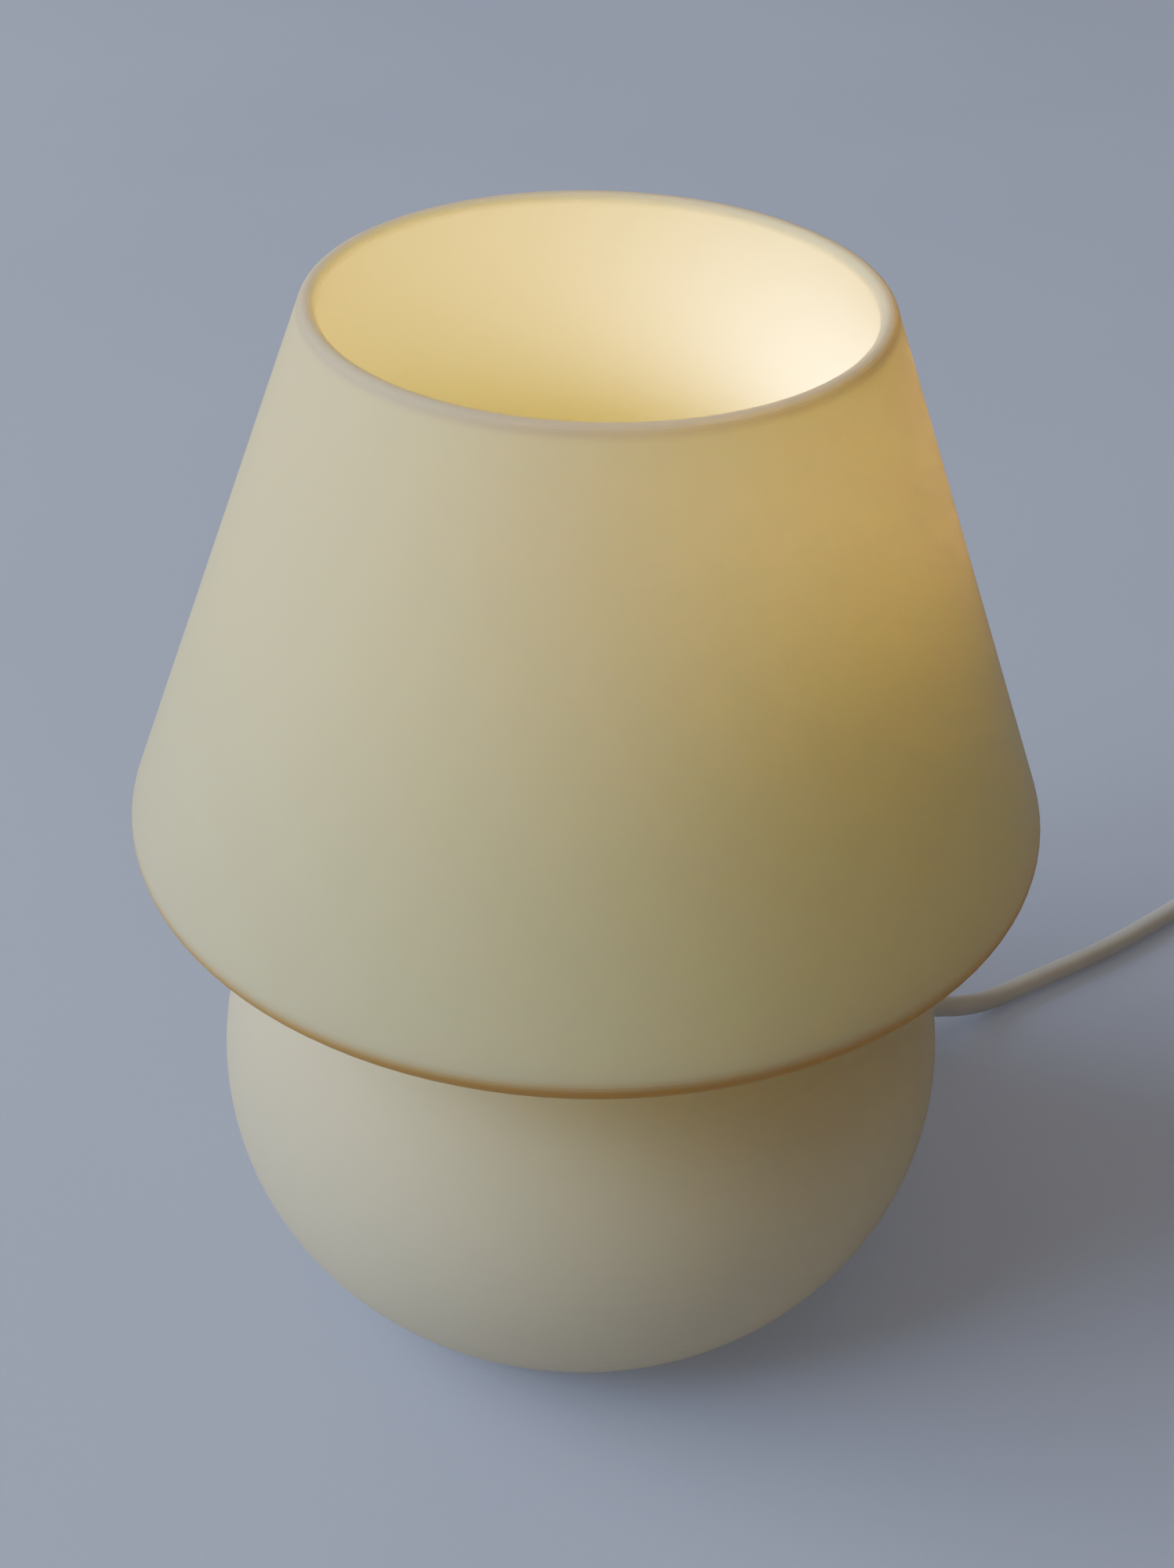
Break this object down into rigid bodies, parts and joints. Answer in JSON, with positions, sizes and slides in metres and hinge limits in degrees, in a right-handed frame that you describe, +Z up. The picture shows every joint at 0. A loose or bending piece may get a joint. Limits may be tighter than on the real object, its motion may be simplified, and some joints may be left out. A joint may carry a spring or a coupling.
{
  "type": "mushroom table lamp",
  "caption": "One-piece satin glass mushroom table lamp, globe foot and open conical shade, with a bracketed screw lampholder, bulb, cord, in-line rocker switch and plug.",
  "frame": {"origin": "on the glass axis, on the plane that the foot ring stands on", "axes": "+Z up along the glass axis; the cable hole looks towards +X turned 30.5 degrees to +Y"},
  "size_m": [0.3287, 0.292, 0.22],
  "materials": {
    "satin_glass": "satin-etched cream opal glass",
    "silicone": "soft matt",
    "zinc_steel": "zinc-plated",
    "soft_plastic": "soft matt",
    "holder_plastic": "fine matt",
    "insulator_block": "matt",
    "brass": "bare",
    "cord_sheath": "soft matt",
    "core_insulation": "matt",
    "diffuser": "milky satin",
    "bulb_plastic": "smooth",
    "board_white": "coated",
    "led_phosphor": "silicone over phosphor",
    "nickel": "bright",
    "black_glass": "glossy",
    "solder": "dull",
    "tie_plastic": "matt",
    "switch_plastic": "fine matt",
    "rocker_plastic": "smooth",
    "plug_plastic": "fine matt",
    "sleeve_plastic": "matt"
  },
  "bodies": {
    "lamp": {"glass_body": "satin_glass", "outer_washer": "silicone", "inner_washer": "silicone", "entry_nipple": "zinc_steel", "entry_nut": "zinc_steel", "cord_bush": "soft_plastic", "bracket": "zinc_steel", "lock_washer": "zinc_steel", "holder_nipple": "zinc_steel", "holder_nut": "zinc_steel", "holder_cap": "holder_plastic", "holder_body": "holder_plastic", "contact_block": "insulator_block", "screw_shell": "brass", "centre_contact": "brass", "terminals": "brass", "terminal_screws": "zinc_steel", "inner_lead": "cord_sheath", "inner_cores": "core_insulation", "cord_lead": "cord_sheath", "cord_tail": "cord_sheath", "cord_coil": "cord_sheath", "cord_end": "cord_sheath", "coil_tie": "tie_plastic", "switch_base": "switch_plastic", "switch_cover": "switch_plastic", "switch_terminals": "brass", "switch_screws": "zinc_steel", "plug_body": "plug_plastic", "plug_pins": "nickel", "pin_sleeves": "sleeve_plastic"},
    "bulb_lift": {"bulb_contact": "solder"},
    "bulb": {"bulb_dome": "diffuser", "bulb_housing": "bulb_plastic", "bulb_board": "board_white", "bulb_leds": "led_phosphor", "bulb_cap": "nickel", "bulb_insulator": "black_glass"},
    "rocker": {"switch_rocker": "rocker_plastic", "switch_bridge": "brass"}
  },
  "joints": [
    {"name": "bulb_rise", "type": "slide", "parent": "lamp", "child": "bulb_lift", "axis": [0.1496, 0.0881, 0.9848], "range_m": [0, 0.0113]},
    {"name": "bulb_turn", "type": "hinge", "parent": "bulb_lift", "child": "bulb", "pos_m": [0.02297, 0.01353, 0.1023], "axis": [0.1496, 0.0881, 0.9848], "range_deg": [0, 1440]},
    {"name": "rocker_tilt", "type": "hinge", "parent": "lamp", "child": "rocker", "pos_m": [0.22, 0.025, 0.012], "axis": [1, 0, 0], "range_deg": [-20, 0]}
  ],
  "couplings": [
    {"joint": "bulb_rise", "follows": "bulb_turn", "m_per_rad": 0.00044917}
  ]
}
